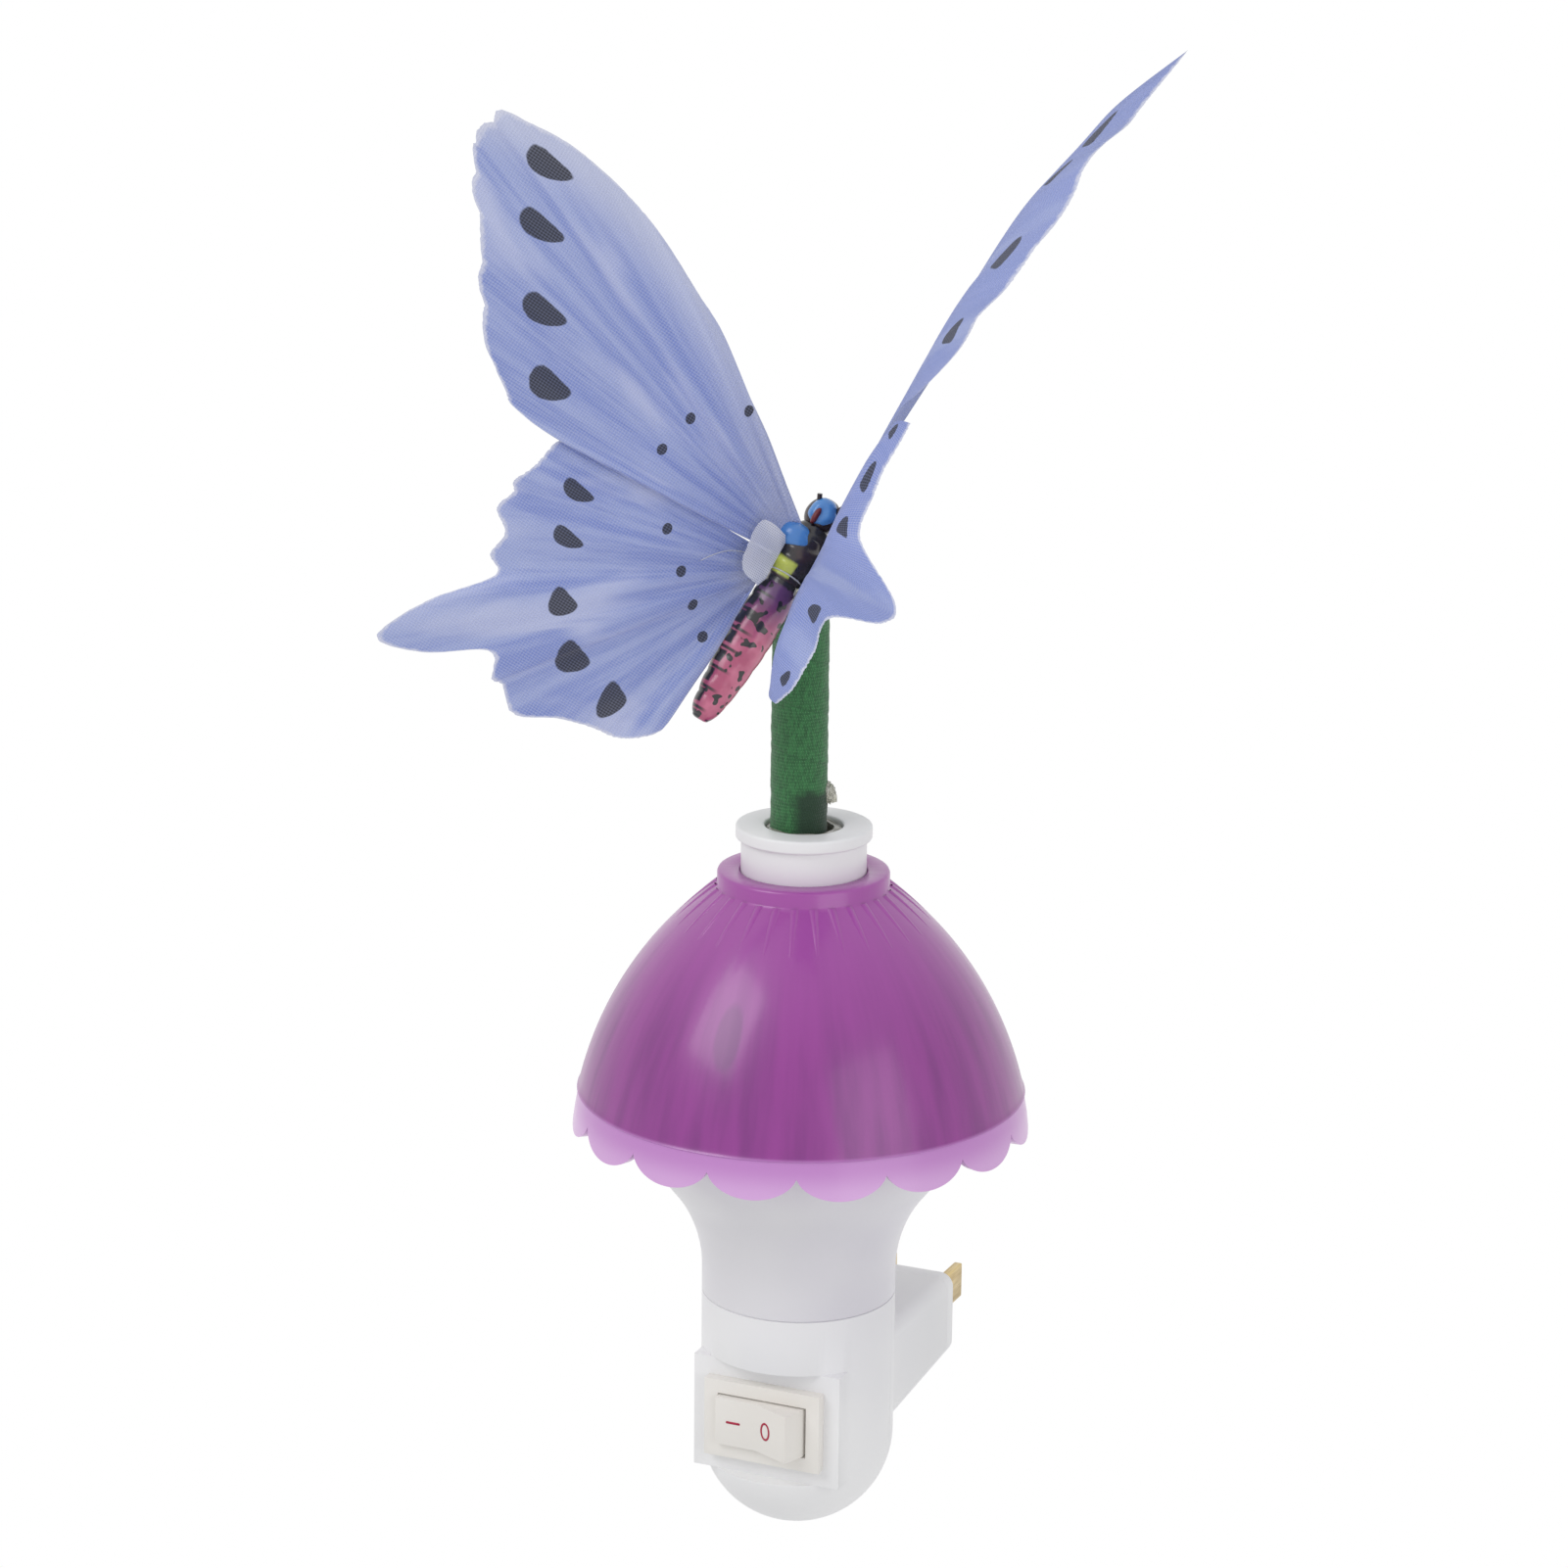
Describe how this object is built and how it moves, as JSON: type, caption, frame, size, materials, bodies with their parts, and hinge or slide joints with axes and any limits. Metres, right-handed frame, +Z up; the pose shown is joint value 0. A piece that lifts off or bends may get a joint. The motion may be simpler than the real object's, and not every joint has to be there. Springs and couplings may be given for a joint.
{
  "type": "plug-in night light",
  "caption": "Plug-in night light: purple domed shade on a white trumpet cup, rocker switch in the base, and a blue cloth butterfly on a green stem.",
  "frame": {"origin": "middle of the plug's wall face, level with the blades", "axes": "+Z up, front (switch) towards -Y, blades run into the wall along +Y"},
  "size_m": [0.1013, 0.1199, 0.2504],
  "materials": {
    "white_plastic": "satin",
    "cup_plastic": "satin",
    "shade_plastic": "satin",
    "switch_cream": "satin",
    "blade_brass": "polished",
    "contact_brass": "plain",
    "screw_steel": "plain",
    "lead_sleeve": "matte",
    "board_green": "matte",
    "board_parts": "satin",
    "led_lens": "clear",
    "stem_green": "matte",
    "stem_rod": "matte",
    "clear_glue": "clear",
    "wing_cloth": "matte",
    "root_gauze": "matte",
    "tie_nylon": "clear",
    "abdomen_paint": "satin",
    "thorax_paint": "satin",
    "patch_blue": "satin"
  },
  "bodies": {
    "lamp": {"front_housing": "white_plastic", "rear_housing": "white_plastic", "housing_screws": "screw_steel", "blade_left": "blade_brass", "blade_right": "blade_brass", "plug_face": "white_plastic", "switch_frame": "switch_cream", "switch_terminals": "contact_brass", "lead_live": "lead_sleeve", "lead_neutral": "lead_sleeve", "lead_switched": "lead_sleeve", "lamp_cup": "cup_plastic", "cup_deck": "white_plastic", "lamp_leds": "led_lens", "circuit_board": "board_green", "dropper_capacitor": "board_parts", "bridge_rectifier": "thorax_paint", "board_resistors": "board_parts", "shade": "shade_plastic", "collar": "white_plastic", "stem_core": "stem_rod", "stem_wrap": "stem_green", "stem_glue": "clear_glue", "perch_glue": "clear_glue", "butterfly_abdomen": "abdomen_paint", "butterfly_thorax": "thorax_paint", "butterfly_head": "thorax_paint", "butterfly_feelers": "thorax_paint", "butterfly_eyes": "patch_blue", "tie_thread": "tie_nylon", "wing_gauze": "root_gauze", "left_forewing": "wing_cloth", "left_hindwing": "wing_cloth", "right_forewing": "wing_cloth", "right_hindwing": "wing_cloth"},
    "rocker": {"switch_rocker": "switch_cream", "rocker_plunger": "white_plastic", "switch_contact": "contact_brass"}
  },
  "joints": [
    {"name": "rocker_tilt", "type": "hinge", "parent": "lamp", "child": "rocker", "pos_m": [0, -0.0559, -0.001], "axis": [0, 0, 1], "range_deg": [0, 24]}
  ]
}
